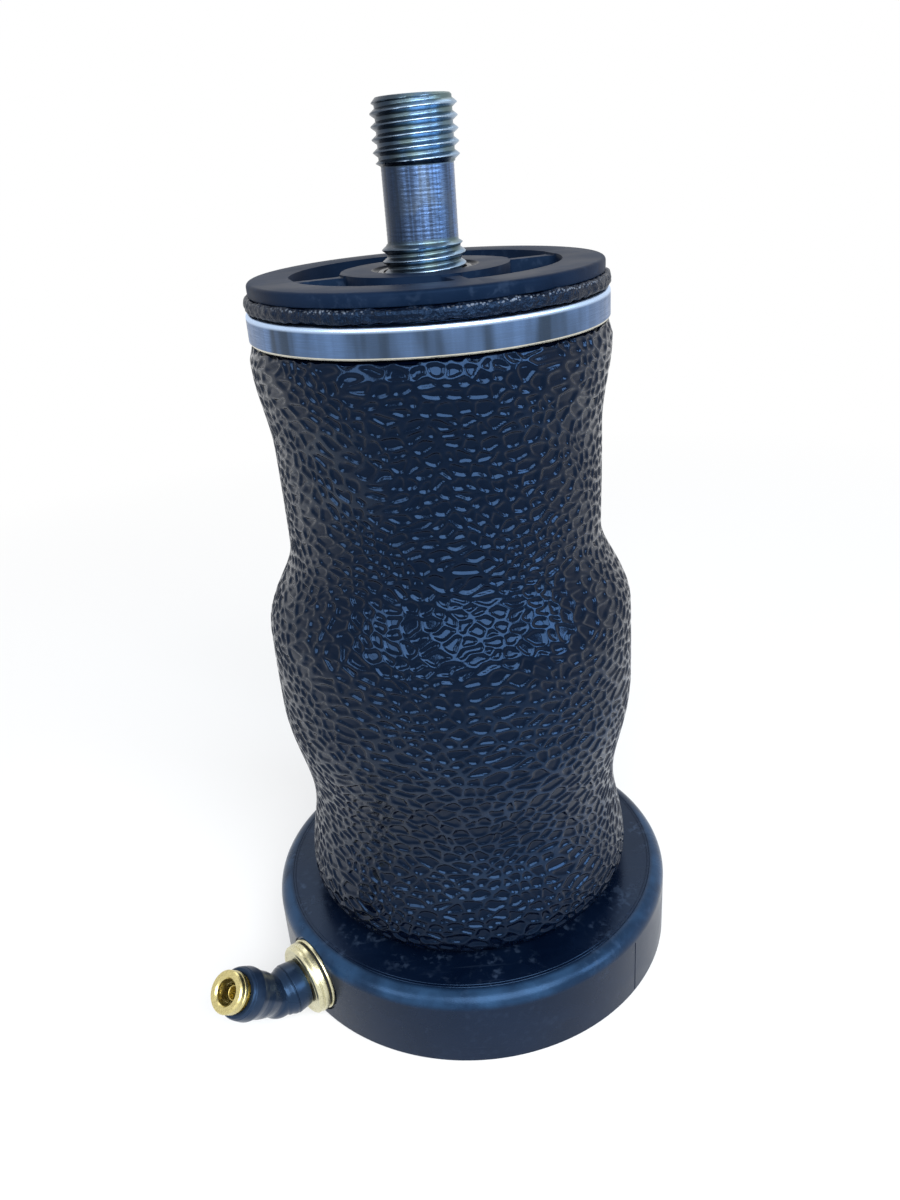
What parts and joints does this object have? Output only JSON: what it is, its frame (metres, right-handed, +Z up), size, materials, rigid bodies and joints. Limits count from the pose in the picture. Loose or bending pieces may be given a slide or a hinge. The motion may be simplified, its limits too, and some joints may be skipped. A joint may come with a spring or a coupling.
{
  "type": "cab air spring",
  "caption": "Rolling-lobe rubber air spring between a round base with a swivelling push-in elbow and a ribbed end cap with a threaded stud",
  "frame": {"origin": "centre of the base's underside, at the mouth of the mounting thread", "axes": "+Z up along the spring's axis to the stud, -Y towards the viewer of the picture, +X to its right"},
  "size_m": [0.1269, 0.115, 0.226],
  "materials": {
    "black_nylon": "satin moulded, glass filled",
    "cap_nylon": "satin moulded, glass filled",
    "piston_nylon": "matte moulded",
    "sleeve_rubber": "pebbled, semi-gloss",
    "bump_rubber": "matte",
    "seal_rubber": "smooth",
    "crimp_aluminium": "brushed, swaged",
    "zinc_steel": "zinc plated, turned",
    "insert_steel": "plated, machined",
    "screw_steel": "zinc plated",
    "brass": "bright, turned",
    "fitting_plastic": "smooth moulded",
    "spring_steel": "bright strip"
  },
  "bodies": {
    "base": {"base_disc": "black_nylon", "mounting_insert": "insert_steel", "piston": "piston_nylon", "piston_o_ring": "seal_rubber", "piston_screws": "screw_steel", "bump_stop": "bump_rubber", "rubber_sleeve": "sleeve_rubber", "lower_crimp_ring": "crimp_aluminium", "port_insert": "brass", "port_gasket": "seal_rubber", "port_stem": "brass", "stem_o_ring": "seal_rubber"},
    "cap": {"end_cap": "cap_nylon", "stud": "zinc_steel", "stud_o_ring": "seal_rubber", "upper_crimp_ring": "crimp_aluminium"},
    "elbow": {"elbow_body": "fitting_plastic", "tube_support": "brass", "tube_o_ring": "seal_rubber", "grab_ring": "spring_steel", "collet_cartridge": "brass"},
    "collet": {"release_collet": "brass"}
  },
  "joints": [
    {"name": "height", "type": "slide", "parent": "base", "child": "cap", "axis": [0, 0, 1], "range_m": [-0.055, 0.04], "stiffness_N_per_m": 2500, "deforming": ["rubber_sleeve"]},
    {"name": "elbow_swivel", "type": "hinge", "parent": "base", "child": "elbow", "pos_m": [-0.05511, -0.04152, 0.0114], "axis": [-0.7986, -0.6018, 0], "range_deg": [-102, 121]},
    {"name": "collet_press", "type": "slide", "parent": "elbow", "child": "collet", "axis": [0.4945, 0.5188, -0.6974], "range_m": [0, 0.001], "stiffness_N_per_m": 800}
  ]
}
